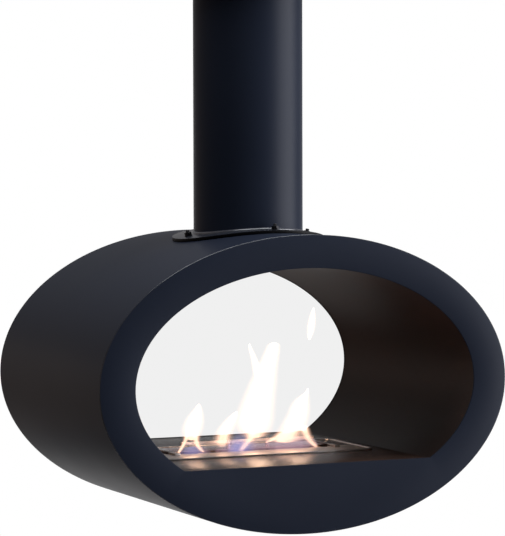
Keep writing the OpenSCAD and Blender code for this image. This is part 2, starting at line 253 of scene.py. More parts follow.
def turned(name, rings, sides, end="cap", axis="Z", at=(0, 0, 0)):
    """A ring extruded from station to station: rings holds (place along, half width, half depth).
    end is cap for a solid, or loop for a wall that comes back to its first ring."""
    along, half_w, half_d = rings[0]
    bpy.ops.object.select_all(action="DESELECT")
    bpy.ops.mesh.primitive_circle_add(vertices=sides, radius=1, location=(0, 0, along))
    obj = added(name)
    with editing(obj):
        bpy.ops.transform.resize(value=(half_w, half_d, 1), center_override=(0, 0, along))
        for place, w, d in rings[1:]:
            bpy.ops.mesh.extrude_region_move(
                TRANSFORM_OT_translate={"value": (0, 0, place - along)}
            )
            bpy.ops.transform.resize(
                value=(w / half_w, d / half_d, 1), center_override=(0, 0, place)
            )
            along, half_w, half_d = place, w, d
        bpy.ops.mesh.select_mode(type="EDGE")
        bpy.ops.mesh.select_all(action="DESELECT")
        bpy.ops.mesh.select_non_manifold()
        if end == "loop":
            bpy.ops.mesh.bridge_edge_loops()
        else:
            bpy.ops.mesh.edge_face_add()
        bpy.ops.mesh.select_all(action="SELECT")
        bpy.ops.mesh.normals_make_consistent(inside=False)
    lay = Matrix.Rotation(math.radians(-90), 4, "X") if axis == "Y" else Matrix()
    obj.data.transform(Matrix.Translation(at) @ lay)
    return obj


def oval_solid(name, proud, reach):
    """A closed oval bar round the drum's middle, proud of the drum, which reaches as far to
    the front as to the back."""
    half_w, half_h = HALF_W + proud, HALF_H + proud
    rings = [(-reach, half_w, half_h), (reach, half_w, half_h)]
    return turned(name, rings, OVAL_SIDES, axis="Y", at=MIDDLE)


def add_upright_circle(y):
    """Adds a circle of radius 1 round the drum's middle, standing across Y."""
    bpy.ops.mesh.primitive_circle_add(
        vertices=OVAL_SIDES, radius=1, location=(0, y, DRUM_Z), rotation=(math.pi / 2, 0, 0)
    )


def upright_oval(name, half_w, half_h, y):
    """An oval outline round the drum's middle, standing across Y."""
    bpy.ops.object.select_all(action="DESELECT")
    add_upright_circle(y)
    oval = added(name)
    with editing(oval):
        bpy.ops.transform.resize(value=(half_w, 1, half_h), center_override=(0, y, DRUM_Z))
    return oval


def softened_copy(node, name, width):
    """A merged copy of a CAD node with its edges rounded, which stands for the node."""
    obj = copied(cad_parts[node], Matrix())
    for key in list(obj.keys()):
        del obj[key]
    obj.parent = None
    obj.name = obj.data.name = name
    with editing(obj):
        bpy.ops.mesh.remove_doubles(threshold=0.002 * MM)
        bpy.ops.mesh.dissolve_limited(angle_limit=math.radians(0.5))
    return soften(obj, width)


# ---------- finishes ----------


class Wire:
    """An output in a node tree. Sums on it add Math nodes."""

    def __init__(self, nodes, socket):
        self.nodes = nodes
        self.socket = socket

    def maths(self, operation, *terms):
        """A Math node on these terms."""
        settings = {"operation": operation}
        return self.nodes.add("ShaderNodeMath", settings, dict(enumerate(terms)))

    def __add__(self, other):
        return self.maths("ADD", self, other)

    __radd__ = __add__

    def __sub__(self, other):
        return self.maths("SUBTRACT", self, other)

    def __rsub__(self, other):
        return self.maths("SUBTRACT", other, self)

    def __mul__(self, other):
        return self.maths("MULTIPLY", self, other)

    __rmul__ = __mul__

    def __truediv__(self, other):
        return self.maths("DIVIDE", self, other)

    def __pow__(self, other):
        return self.maths("POWER", self, other)

    def __abs__(self):
        return self.maths("ABSOLUTE", self)

    def clipped(self):
        """Kept between 0 and 1."""
        return self.maths("MINIMUM", self.maths("MAXIMUM", self, 0.0), 1.0)


class Nodes:
    """A node tree that is filled one node at a time."""

    def __init__(self, tree):
        self.tree = tree

    def add(self, kind, settings=None, values=None, out=0):
        """Adds a node: its settings first, then the values or wires of its sockets."""
        node = self.tree.nodes.new(kind)
        for key, value in (settings or {}).items():
            setattr(node, key, value)
        for key, value in (values or {}).items():
            self.feed(node.inputs[key], value)
        return Wire(self, node.outputs[out]) if len(node.outputs) else node

    def feed(self, socket, value):
        if isinstance(value, Wire):
            self.tree.links.new(value.socket, socket)
        elif isinstance(value, tuple) and len(value) == 3 and socket.type == "RGBA":
            socket.default_value = (*value, 1.0)
        else:
            socket.default_value = value

    def between(self, wire, low, high):
        """0 where wire is at low, 1 where it is at high, smooth between."""
        values = {"Value": wire, "From Min": low, "From Max": high}
        return self.add("ShaderNodeMapRange", {"interpolation_type": "SMOOTHSTEP"}, values)

    def blend(self, factor, first, second):
        """A colour between two colours."""
        settings = {"data_type": "RGBA"}
        return self.add("ShaderNodeMix", settings, {0: factor, 6: first, 7: second}, out=2)


class Finish(Nodes):
    """One material, made of nodes on Object coordinates."""

    def __init__(self, name, **plain):
        self.material = bpy.data.materials.new(name)
        self.material.use_nodes = True
        super().__init__(self.material.node_tree)
        self.shader = self.tree.nodes["Principled BSDF"]
        self.point = self.add("ShaderNodeTexCoord", out="Object")
        self.set(plain)

    def set(self, sockets):
        """Feeds sockets of the surface shader, named with _ for a space."""
        for name, value in sockets.items():
            self.feed(self.shader.inputs[name.replace("_", " ")], value)

    def noise(self, size, detail=2.0, stretch=(1, 1, 1)):
        """Noise whose lumps are about size metres across, drawn out by stretch."""
        scale = tuple(1 / s for s in stretch)
        point = self.add("ShaderNodeMapping", values={"Vector": self.point, "Scale": scale})
        values = {"Vector": point, "Scale": 1 / size, "Detail": detail}
        return self.add("ShaderNodeTexNoise", values=values)

    def place(self, axis):
        """Object coordinate along X, Y or Z."""
        return self.add("ShaderNodeSeparateXYZ", values={0: self.point}, out=axis)

    def bump(self, height, strength, distance):
        values = {"Height": height, "Strength": strength, "Distance": distance}
        self.set({"Normal": self.add("ShaderNodeBump", values=values)})


# A pattern brushed from side to side, and what heat leaves of steel's red, green and blue
BRUSHED = (60, 1, 1)
STRAW = (0.95, 0.80, 0.62)

# The colour of fire: low over the slot, and where it burns brightest
PEACH = (1.0, 0.60, 0.43)
FIRE_WHITE = (1.0, 0.66, 0.46)

# The haze over the slot is blue at two places, this far to either side of a middle
BLUE_MIDDLE = -86 * MM
BLUE_APART = 59 * MM
HAZE_COVER = 0.085


def black_paint(name, deep, pale, rough=0.40, specular=0.10):
    """Heat-resistant matt paint: a faint mottle and a fine orange-peel grain."""
    paint = Finish(name, Specular_IOR_Level=specular)
    mottle = paint.noise(180 * MM, 3)
    speckle = paint.noise(2.2 * MM, 1)
    tone = paint.blend(mottle * 0.8 + speckle * 0.2, deep, pale)
    grain = paint.noise(0.9 * MM, 2)
    peel = paint.noise(5 * MM, 1)
    dull = rough - 0.04 + mottle * 0.06 + grain * 0.03
    paint.set({"Base_Color": tone, "Roughness": dull})
    paint.bump(grain * 0.5 + peel * 0.5, 0.12, 0.15 * MM)
    return paint.material


def liner_paint():
    """Satin black, browner towards the top and in patches: partly heat tint, partly a painted glow of
    the fire's warm light.
    """
    paint = Finish("liner_paint", Specular_IOR_Level=0.09)
    toward_top = paint.between(paint.place("Z"), FLOOR_Z, DRUM_Z + OPEN_H)
    mottle = paint.noise(120 * MM, 4, (1, 2.5, 1))
    # this brown mixes heat tint with a painted warm glow from the fire
    heat = (toward_top * 0.7 + mottle * 0.4).clipped()
    tone = paint.blend(heat, (0.011, 0.0078, 0.0068), (0.064, 0.037, 0.030))
    grain = paint.noise(1.1 * MM, 2)
    paint.set({"Base_Color": tone, "Roughness": 0.31 + toward_top**3 * 0.24 + mottle * 0.06})
    paint.bump(grain, 0.10, 0.15 * MM)
    return paint.material


def floor_paint():
    """Satin floor sheet, brushed from side to side, so the fire's mirror image is drawn out. Its
    red-brown tone is partly a painted warm reflection of the fire.
    """
    paint = Finish("floor_paint", Specular_IOR_Level=0.8)
    mottle = paint.noise(90 * MM, 3)
    brush = paint.noise(0.6 * MM, 2, BRUSHED)
    # red-brown tone: partly the sheet's paint, partly a painted warm reflection of the fire
    tone = paint.blend(mottle, (0.046, 0.027, 0.021), (0.070, 0.042, 0.033))
    paint.set({"Base_Color": tone, "Roughness": 0.24 + mottle * 0.04})
    paint.bump(brush, 0.9, 0.2 * MM)
    return paint.material


def brushing(steel, wave):
    """Fine brushing, over the slow waves that heat puts into sheet steel."""
    brush = steel.noise(0.8 * MM, 2, BRUSHED)
    waves = steel.noise(38 * MM, 1, (1.6, 0.7, 1))
    steel.bump(waves * 0.9 + brush * 0.03, wave, 4 * MM)
    return brush


def polished_steel(name, tone=(0.62, 0.59, 0.56), rough=0.10, wave=0.35, metal=1.0):
    """Stainless sheet that the heat has turned to straw in patches."""
    steel = Finish(name, Metallic=metal)
    brush = brushing(steel, wave)
    stain = steel.between(steel.noise(45 * MM, 3), 0.52, 0.80)
    straw = tuple(part * left for part, left in zip(tone, STRAW))
    patchy = steel.blend(stain * 0.6, tone, straw)
    steel.set({"Base_Color": patchy, "Roughness": rough + brush * 0.10})
    return steel.material


def two_tone_plate_steel():
    """The burner's top plate: pale in front of the slot, dark brown behind it; the pale front is partly
    a painted reflection of the fire.
    """
    steel = Finish("two_tone_plate_steel", Metallic=0.8)
    brush = brushing(steel, 0.35)
    behind = steel.between(steel.place("Y"), -20 * MM, -12 * MM)
    patches = steel.noise(30 * MM, 3)
    # the pale front tone is partly a painted reflection of the fire
    bright = steel.blend(patches, (0.92, 0.87, 0.84), (0.84, 0.76, 0.70))
    brown = steel.blend(patches, (0.13, 0.09, 0.075), (0.21, 0.14, 0.11))
    steel.set({
        "Base_Color": steel.blend(behind, bright, brown),
        "Roughness": 0.36 + brush * 0.08 - behind * 0.18,
    })
    return steel.material


def zinc_plate():
    """Plated hardware with a faint spangle."""
    zinc = Finish("zinc_plate", Metallic=1.0)
    spangle = zinc.noise(6 * MM, 3)
    tone = zinc.blend(spangle, (0.42, 0.43, 0.44), (0.58, 0.59, 0.60))
    zinc.set({"Base_Color": tone, "Roughness": 0.32 + spangle * 0.15})
    zinc.bump(zinc.noise(1.2 * MM, 2), 0.1, 0.1 * MM)
    return zinc.material


def oxide_black():
    """Blackened hardware, worn a touch lighter in patches."""
    oxide = Finish("oxide_black", Metallic=0.6)
    wear = oxide.noise(4 * MM, 3)
    worn = oxide.between(wear, 0.45, 0.75)
    tone = oxide.blend(worn, (0.010, 0.010, 0.012), (0.045, 0.045, 0.050))
    oxide.set({"Base_Color": tone, "Roughness": 0.34 + wear * 0.16})
    oxide.bump(oxide.noise(0.7 * MM, 2), 0.15, 0.1 * MM)
    return oxide.material


def fibre():
    """Off-white mineral fibre, matted and uneven."""
    wool = Finish("fibre", Roughness=0.95, Specular_IOR_Level=0.2)
    strands = wool.noise(1.5 * MM, 4, (6, 1, 1))
    clumps = wool.noise(14 * MM, 4)
    tone = wool.blend(clumps * 0.7 + strands * 0.3, (0.55, 0.51, 0.45), (0.82, 0.79, 0.74))
    wool.set({"Base_Color": tone})
    wool.bump(strands * 0.6 + clumps * 0.4, 0.6, 1 * MM)
    return wool.material


def rubber(name, tone):
    """Dull black gasket or felt with a fine speckle."""
    soft = Finish(name, Roughness=0.8, Specular_IOR_Level=0.3)
    speckle = soft.noise(1.3 * MM, 3)
    paler = tuple(part * 1.8 for part in tone)
    soft.set({"Base_Color": soft.blend(speckle, tone, paler)})
    soft.bump(speckle, 0.3, 0.2 * MM)
    return soft.material


def glowing(name, strength):
    """A finish that only gives light."""
    return Finish(
        name, Roughness=1.0, Specular_IOR_Level=0.0, Base_Color=(0, 0, 0), Emission_Strength=strength
    )


def flame_light(name, cover, strength, kind):
    """Burning vapour in upright licks. Over the slot it fades in to a thin peach glow, and
    higher up its colour goes far past white, so its middle looks white and its edge peach."""
    share, glow, thin, (start, foot_end, rise_start, full) = kind
    fire = glowing(name, strength)
    height = fire.place("Z") - SLOT_TOP
    foot = fire.between(height, start, foot_end)
    rise = fire.between(height, rise_start, full)
    licks = fire.noise(11 * MM, 2, (1, 1, 5))
    peach = tuple(part * glow / strength for part in PEACH)
    fire.set({
        "Emission_Color": fire.blend(rise, peach, FIRE_WHITE),
        "Alpha": foot * (thin + rise * (1 - thin)) * (0.45 + licks * 1.1) * (cover * share),
    })
    return fire.material


def gas_light():
    """The haze low over the slot: dusty pink, and blue at two places along it."""
    gas = glowing("gas_light", 1.0)
    fade = gas.between(gas.place("Z") - SLOT_TOP, 48 * MM, 6 * MM)
    off_blue = abs(abs(gas.place("X") - BLUE_MIDDLE) - BLUE_APART)
    blue = gas.between(off_blue, 38 * MM, 14 * MM)
    streaks = gas.noise(7 * MM, 2, (1, 1, 4))
    gas.set({
        "Emission_Color": gas.blend(blue, (0.76, 0.50, 0.62), (0.46, 0.42, 0.80)),
        "Alpha": fade * (0.4 + streaks * 1.2) * HAZE_COVER,
    })
    return gas.material


# ---------- the drum ----------


def make_outer_shell():
    """The rolled sheet, drawn in a little at both ends, which leaves a fine dark seam by the
    face plates."""
    seam = 1.2 * MM
    outside = [
        (SHELL_FRONT, HALF_W - seam, HALF_H - seam),
        (SHELL_FRONT + seam, HALF_W, HALF_H),
        (SHELL_BACK - seam, HALF_W, HALF_H),
        (SHELL_BACK, HALF_W - seam, HALF_H - seam),
    ]
    inside = [
        (SHELL_BACK, HALF_W - SHELL_T, HALF_H - SHELL_T),
        (SHELL_FRONT, HALF_W - SHELL_T, HALF_H - SHELL_T),
    ]
    shell = turned("shell", outside + inside, OVAL_SIDES, end="loop", axis="Y", at=MIDDLE)
    return smooth(shell, 30)


def add_opening(y):
    """In edit mode, adds the opening's outline: an oval cut off flat at the sill."""
    bpy.ops.mesh.select_all(action="DESELECT")
    add_upright_circle(y)
    bpy.ops.transform.resize(value=(OPEN_W, 1, OPEN_H), center_override=(0, y, DRUM_Z))
    bpy.ops.mesh.bisect(plane_co=(0, y, SILL_Z), plane_no=(0, 0, 1), clear_inner=True)


def make_face_plate(name, y, outward):
    """The oval plate with its opening: filled between outline and opening, then given its
    thickness. outward is -1 for the front and 1 for the back."""
    plate = upright_oval(name, HALF_W, HALF_H, y)

    def at_sill(vertex):
        return abs(vertex.co.z - SILL_Z) < 0.01 * MM and abs(vertex.co.x) < OPEN_W

    with editing(plate):
        add_opening(y)
        pick(plate, "VERT", at_sill)
        bpy.ops.mesh.edge_face_add()
        bpy.ops.mesh.select_all(action="SELECT")
        bpy.ops.mesh.fill()
        bpy.ops.mesh.normals_make_consistent(inside=False)
        pick(plate, "FACE", lambda face: face.normal.y * outward < 0)
        bpy.ops.mesh.flip_normals()
    modify(plate, "SOLIDIFY", thickness=FACE_T, offset=-1.0)
    return soften(plate, 1.2 * MM, angle=50)


def make_liner():
    """The arch between the openings, with its thickness on the outside."""
    front = SHELL_FRONT + FIT_GAP
    liner = upright_oval("liner", OPEN_W + REVEAL, OPEN_H + REVEAL, front)

    def looks_out(face):
        return face.normal.dot(face.calc_center_median() - Vector(MIDDLE)) > 0

    with editing(liner):
        bpy.ops.mesh.extrude_region_move(TRANSFORM_OT_translate={"value": (0, -2 * front, 0)})
        bpy.ops.mesh.select_all(action="SELECT")
        bpy.ops.mesh.bisect(plane_co=(0, 0, FLOOR_Z), plane_no=(0, 0, 1), clear_inner=True)
    with editing(liner):
        pick(liner, "FACE", looks_out)
        bpy.ops.mesh.flip_normals()
    modify(liner, "SOLIDIFY", thickness=LINER_T, offset=-1.0, use_even_offset=True)
    return smooth(liner, 30)


# ---------- the suspension ----------


def make_saddle(name, radius, low, high, edge):
    """A round sheet that follows the drum's top, between two distances from it."""
    reach = radius + MARGIN
    rings = [(0, radius, radius), (HALF_H + 5 * MARGIN, radius, radius)]
    disc = turned(name, rings, ROUND_SIDES, at=MIDDLE)
    combine(disc, oval_solid("over", high, reach), "INTERSECT")
    combine(disc, oval_solid("under", low, reach + MM), "DIFFERENCE")
    clean(disc)
    return soften(disc, edge, angle=40)


def make_pipe():
    """The drop pipe, its foot cut to the flange's curve."""
    inner = PIPE_R - PIPE_WALL
    foot = DRUM_Z + HALF_H - 3 * MARGIN
    outside = [(foot, PIPE_R, PIPE_R), (PIPE_TOP, PIPE_R, PIPE_R)]
    inside = [(PIPE_TOP, inner, inner), (foot, inner, inner)]
    pipe = turned("pipe", outside + inside, ROUND_SIDES, end="loop")
    combine(pipe, oval_solid("saddle_cut", FLANGE_TOP, PIPE_R + MARGIN), "DIFFERENCE")
    clean(pipe)
    return smooth(pipe, 30)


def make_weld():
    """The fillet weld round the pipe's foot: a round bead whose points drop to the flange's
    curve, sunk a little into pipe and flange."""
    sink = 0.3 * MM
    root = 1 * MM
    wide = PIPE_R - sink
    bead = [(WELD_LEG * math.sin(a), wide + WELD_LEG * math.cos(a)) for a in QUARTER_ARC]
    line = [(-root, PIPE_R - root), (-root, wide + WELD_LEG)] + bead
    weld = turned("weld", [(z, r, r) for z, r in line], ROUND_SIDES, end="loop")
    for vertex in weld.data.vertices:
        across = vertex.co.x / (HALF_W + FLANGE_TOP)
        vertex.co.z += DRUM_Z + (HALF_H + FLANGE_TOP) * math.sqrt(1 - across**2)
    return smooth(weld, 60)


def stud_places():
    """Where each stud comes out of the shell, and how it leans."""
    angle = math.acos(STUD_RING / HALF_W)
    lean = math.atan2(math.cos(angle) / HALF_W, math.sin(angle) / HALF_H)
    side_z = DRUM_Z + HALF_H * math.sin(angle)
    places = [Matrix.Translation((0, side * STUD_RING, DRUM_Z + HALF_H)) for side in (-1, 1)]
    for side in (-1, 1):
        turn = Matrix.Rotation(side * lean, 4, "Y")
        places.append(Matrix.Translation((side * STUD_RING, 0, side_z)) @ turn)
    return places


def repeated(name, piece, places):
    """One piece of copies at the places, and the pattern itself taken away."""
    copies = [copied(piece, place) for place in places]
    bpy.data.objects.remove(piece, do_unlink=True)
    return joined(name, copies)


def threaded(low, high, radius, pitch):
    """Rings of a fine thread from low to high."""
    rings = []
    root = radius - 0.35 * pitch
    place = low
    while place < high - pitch:
        rings += [(place, radius, radius), (place + pitch / 2, root, root)]
        place += pitch
    return rings


def make_studs():
    """Studs with a flat round head under the shell, and a thread with a plain tapered end."""
    top = FLANGE_TOP + WASHER_T + NUT_H + STUD_TAIL
    head = NUT_ACROSS / 2
    tip = STUD_R - 1 * MM
    chamfer = 0.5 * MM
    rings = [
        (-STUD_ROOT, head - chamfer, head - chamfer),
        (-STUD_ROOT + chamfer, head, head),
        (-STUD_ROOT + STUD_HEAD_H, head, head),
        (-STUD_ROOT + STUD_HEAD_H, STUD_R, STUD_R),
    ]
    rings += threaded(THREAD_START, top - 1.5 * MM, STUD_R, THREAD_PITCH)
    rings += [(top - 1 * MM, STUD_R, STUD_R), (top, tip, tip)]
    stud = turned("stud", rings, STUD_SIDES)
    return smooth(repeated("studs", stud, stud_places()), 40)


def bored(obj, low, high):
    """A stud's round hole along Z."""
    rings = [(low - MM, STUD_BORE, STUD_BORE), (high + MM, STUD_BORE, STUD_BORE)]
    return combine(obj, turned("bore", rings, BORE_SIDES), "DIFFERENCE")


def make_washers():
    """Flat washers on the flange."""
    low, high = FLANGE_TOP, FLANGE_TOP + WASHER_T
    rings = [(low, WASHER_R, WASHER_R), (high, WASHER_R, WASHER_R)]
    washer = bored(turned("washer", rings, WASHER_SIDES), low, high)
    return soften(repeated("washers", washer, stud_places()), 0.2 * MM, angle=50)


def make_nuts():
    """Six flats, with the corners turned off at both ends."""
    low = FLANGE_TOP + WASHER_T
    high = low + NUT_H
    corner = NUT_ACROSS / 2 / math.cos(math.pi / 6)
    nut = turned("nut", [(low, corner, corner), (high, corner, corner)], 6)
    flat = NUT_ACROSS / 2
    wide = corner + 0.2 * MM
    drop = 1.1 * MM
    barrel = [
        (low, flat, flat),
        (low + drop, wide, wide),
        (high - drop, wide, wide),
        (high, flat, flat),
    ]
    combine(nut, turned("barrel", barrel, TURNED_SIDES), "INTERSECT")
    bored(nut, low, high)
    clean(nut)
    return soften(repeated("nuts", nut, stud_places()), 0.15 * MM, segments=2, angle=30)


def make_rosette():
    """The pressed cover: a rolled lower edge, and a flat bottom that the pipe goes through."""
    low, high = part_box("ceiling_rosette")
    radius, sheet, roll = high.x, ROSETTE_SHEET, ROSETTE_ROLL
    outside = [
        (low.z + roll * (1 - math.sin(a)), radius - roll * (1 - math.cos(a))) for a in QUARTER_ARC
    ]
    inside = [(z + sheet * (z < low.z + roll), r - sheet) for z, r in reversed(outside)]
    bottom = [(low.z, ROSETTE_HOLE), (low.z + sheet, ROSETTE_HOLE)]
    line = [(high.z, radius)] + outside + bottom + inside + [(high.z, radius - sheet)]
    rosette = turned("rosette", [(z, r, r) for z, r in line], ROUND_SIDES, end="loop")
    clean(rosette)
    return soften(rosette, 0.3 * MM, segments=2, angle=50)


# ---------- the burner ----------


def make_burner_top():
    """The burner's top plate: rounded corners, and a slot whose edges are turned down."""
    z = top_high.z
    sheet = top_high.z - top_low.z
    size = (2 * top_high.x, top_high.y - top_low.y, 1)
    middle = (0, (top_high.y + top_low.y) / 2, z)
    bpy.ops.object.select_all(action="DESELECT")
    bpy.ops.mesh.primitive_plane_add(size=1, location=middle)
    plate = added("burner_plate")

    def over_slot(face):
        at = face.calc_center_median()
        return abs(at.x) < SLOT_HALF and SLOT_FRONT < at.y < SLOT_BACK

    def round_slot(edge):
        at = (edge.verts[0].co + edge.verts[1].co) / 2
        beside = abs(at.x) < SLOT_HALF + MM and SLOT_FRONT - MM < at.y < SLOT_BACK + MM
        return edge.is_boundary and beside

    with editing(plate):
        bpy.ops.transform.resize(value=size, center_override=middle)
        bpy.ops.mesh.bevel(offset=PLATE_CORNER, segments=8, affect="VERTICES")
        for place, normal in (
            ((-SLOT_HALF, 0, z), (1, 0, 0)),
            ((SLOT_HALF, 0, z), (1, 0, 0)),
            ((0, SLOT_FRONT, z), (0, 1, 0)),
            ((0, SLOT_BACK, z), (0, 1, 0)),
        ):
            bpy.ops.mesh.select_all(action="SELECT")
            bpy.ops.mesh.bisect(plane_co=place, plane_no=normal)
        pick(plate, "FACE", over_slot)
        bpy.ops.mesh.delete(type="FACE")
        pick(plate, "EDGE", round_slot)
        bpy.ops.mesh.extrude_region_move(TRANSFORM_OT_translate={"value": (0, 0, -SLOT_LIP)})
        bpy.ops.mesh.select_all(action="SELECT")
        bpy.ops.mesh.normals_make_consistent(inside=False)
        mesh = bmesh.from_edit_mesh(plate.data)
        if any(face.normal.z < -0.5 for face in mesh.faces):
            bpy.ops.mesh.flip_normals()
    modify(plate, "SOLIDIFY", thickness=sheet, offset=-1.0, use_even_offset=True)
    return soften(plate, 0.7 * MM, angle=40)


def make_posts():
    """Turned posts: a collar at the foot, one under the bar, and a waist between."""
    low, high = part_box("handle_posts")
    radius = (high.y - low.y) / 2
    pitch = (high.x - low.x) / 2 - radius
    at_y = (high.y + low.y) / 2
    waist = radius - 1.2 * MM
    foot = [
        (low.z, radius - 0.4 * MM),
        (low.z + 0.4 * MM, radius),
        (low.z + 2.2 * MM, radius),
        (low.z + 2.8 * MM, waist),
    ]
    head = [
        (high.z - 2.4 * MM, waist),
        (high.z - 1.8 * MM, radius),
        (high.z - 0.3 * MM, radius),
        (high.z, radius - 0.3 * MM),
    ]
    post = turned("post", [(z, r, r) for z, r in foot + head], TURNED_SIDES)
    places = [Matrix.Translation((side * pitch, at_y, 0)) for side in (-1, 1)]
    return smooth(repeated("posts", post, places), 30)


# ---------- the fire ----------

# Each tongue from root to tip: (x, height over the slot, half width), all in mm
FLAMES = {
    "left_body": [
        (-139, 26, 20), (-139, 40, 25), (-136, 56, 26), (-130, 76, 20), (-124, 92, 10),
        (-122, 102, 2),
    ],
    "left_hot_leg": [(-112, 0, 5), (-119, 6, 7), (-127, 17, 9), (-131, 34, 10), (-133, 54, 12)],
    "left_thin_leg": [(-172, -3, 4), (-165, 7, 5), (-157, 18, 6), (-150, 33, 7), (-145, 50, 10)],
    "shoulder": [(-70, 8, 18), (-69, 22, 25), (-65, 42, 23), (-51, 62, 16), (-42, 76, 9), (-36, 82, 3)],
    "tall": [
        (9, 24, 28), (5, 38, 44), (4, 68, 48), (14, 104, 40), (24, 138, 34),
        (33, 168, 26), (43, 196, 20), (49, 216, 17), (51, 225, 13),
    ],
    "tall_root": [(-28, -4, 8), (-22, 6, 10), (-10, 17, 13), (2, 32, 18), (6, 52, 22)],
    "tall_horn": [
        (15, 146, 10), (12, 168, 12), (6, 188, 8), (0, 204, 6), (-5, 216, 4), (-6, 224, 1),
    ],
    "right": [
        (79, 11, 36), (81, 20, 42), (90, 36, 37), (102, 58, 30), (109, 76, 27), (112, 94, 23),
        (119, 107, 15), (128, 116, 4), (130, 125, 1),
    ],
    "right_foot": [(64, 13, 22), (68, 20, 27), (76, 30, 25), (88, 44, 20)],
    "right_root": [(30, 13, 4), (44, 18, 10), (58, 24, 17), (74, 31, 20), (92, 42, 22)],
    "right_tail": [(154, -5, 7), (146, 2, 10), (133, 14, 12), (124, 30, 14), (119, 48, 15)],
    "lick": [
        (133, 228, 2), (135, 238, 7), (138, 254, 10), (140, 270, 9), (142, 284, 6), (144, 297, 1),
    ],
}
HAZE = {
    "haze_left": [(-128, -6, 40), (-132, 4, 34), (-136, 14, 22)],
    "haze_blue": [(-34, -6, 26), (-30, 16, 24), (-22, 44, 18)],
    "haze_middle": [(-30, -6, 66), (-24, 6, 60), (-18, 18, 44)],
    "haze_right": [(84, -6, 74), (86, 10, 68), (90, 26, 50)],
}
FLAME_SIDES = 16
FLAME_STEPS = 2

# Tongues that burn bright down to the slot
HOT = (
    "left_hot_leg", "left_thin_leg", "right", "right_foot", "right_root", "right_tail", "tall_root",
)

# Tongues that have come off the fire
LOOSE = ("lick",)

# The two kinds of flame light: share of its shell's cover, peach glow low down, share of the
# cover low down, and the heights over the slot where a tongue starts, glows, begins to whiten
# and is at its full light
SOFT_LIGHT = (1.0, 2.4, 0.65, (4 * MM, 24 * MM, 30 * MM, 66 * MM))
HOT_LIGHT = (0.8, 2.2, 0.8, (-8 * MM, 6 * MM, 28 * MM, 60 * MM))

# Shells of a tongue from the outside in: share of the width, cover, and strength
FLAME_SHELLS = [
    (1.08, 0.012, 3.2), (0.98, 0.022, 3.2), (0.87, 0.04, 3.2), (0.75, 0.07, 3.6),
    (0.62, 0.12, 5.0), (0.48, 0.20, 7.0), (0.32, 0.34, 9.0),
]
HAZE_SHELLS = [1.0, 0.75, 0.5]


def flame_depth(half):
    """Half the depth of a tongue, in mm: a thin one is nearly round, a wide one a flat sheet."""
    return min(0.35 * half + 4, 13)


def make_tongue(name, stations, share):
    """A tongue: an oval drawn up from station to station, closed at both ends and rounded."""
    rings = []
    for x, height, half in stations:
        depth = flame_depth(half)
        rings.append((x * MM, SLOT_TOP + height * MM, half * share * MM, depth * share * MM))
    x, z, w, d = rings[0]
    bpy.ops.object.select_all(action="DESELECT")
    bpy.ops.mesh.primitive_circle_add(vertices=FLAME_SIDES, radius=1, location=(x, SLOT_Y, z))
    tongue = added(name)
    with editing(tongue):
        bpy.ops.transform.resize(value=(w, d, 1), center_override=(x, SLOT_Y, z))
        bpy.ops.mesh.edge_face_add()
        for nx, nz, nw, nd in rings[1:]:
            bpy.ops.mesh.extrude_region_move(TRANSFORM_OT_translate={"value": (nx - x, 0, nz - z)})
            bpy.ops.transform.resize(value=(nw / w, nd / d, 1), center_override=(nx, SLOT_Y, nz))
            x, z, w, d = nx, nz, nw, nd
        bpy.ops.mesh.select_all(action="SELECT")
        bpy.ops.mesh.normals_make_consistent(inside=False)
    modify(tongue, "SUBSURF", levels=FLAME_STEPS, render_levels=FLAME_STEPS)
    return smooth(tongue, 80)


def light_tongue(tongue, light, loose):
    """Gives a tongue its light. It rides on the burner and dies down under the lid as that shuts;
    a loose one hangs in the air of the drum, and goes down under the tray."""
    tongue.data.materials.append(light)
    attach(tongue, "drum" if loose else "burner")
    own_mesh(tongue)


# ---------- putting it together ----------

# A paint has its two colours, its roughness and its gloss; a steel its colour, its roughness,
# the depth of its waves and how far it is bare metal
FINISHES = {
    "paint": black_paint("blue_black_paint", (0.0152, 0.0202, 0.0345), (0.0196, 0.0258, 0.0430)),
    # paler, glossier paint for the plates' rounded rim: the paleness is a painted highlight
    "rim_highlight_paint": black_paint("rim_highlight_paint", (0.022, 0.027, 0.038), (0.034, 0.039, 0.052), 0.22, 0.9),
    # near-black paint for the flange's upright edge: painted shade, standing for the shadow on that
    # side
    "painted_shade_edge_paint": black_paint("painted_shade_edge_paint", (0.003, 0.003, 0.0035), (0.005, 0.005, 0.006), 0.5, 0.1),
    "inner_paint": black_paint("dark_paint", (0.010, 0.010, 0.012), (0.018, 0.018, 0.020), 0.5),
    "liner": liner_paint(),
    "floor": floor_paint(),
    "steel": polished_steel("polished_steel"),
    # the lid's lavender-pink tone is a painted reflection of the blue and pink flames
    "lid": polished_steel("lid_steel", (0.52, 0.43, 0.47), 0.22, 0.25, 0.6),
    "plate": two_tone_plate_steel(),
    "bar": polished_steel("bar_steel", (1.0, 0.95, 0.92), 0.35, 0.02, 0.4),
    "rim": polished_steel("rim_steel", (0.95, 0.90, 0.87), 0.24, 0.7, 0.9),
    # the posts' pink tint is a painted reflection of the fire
    "post": polished_steel("post_steel", (0.92, 0.80, 0.80), 0.06, 0.0),
    # the weld's paint is far paler than the drum's: a painted highlight for the light band along the
    # bead
    "weld": black_paint("weld_highlight_paint", (0.045, 0.049, 0.060), (0.070, 0.075, 0.090), 0.24, 0.9),
    "flange": black_paint("flange_paint", (0.020, 0.024, 0.034), (0.029, 0.034, 0.047), 0.25, 0.95),
    "zinc": zinc_plate(),
    "oxide": oxide_black(),
    "fibre": fibre(),
    "gasket": rubber("gasket_rubber", (0.006, 0.006, 0.007)),
    "felt": rubber("black_felt", (0.012, 0.012, 0.012)),
}


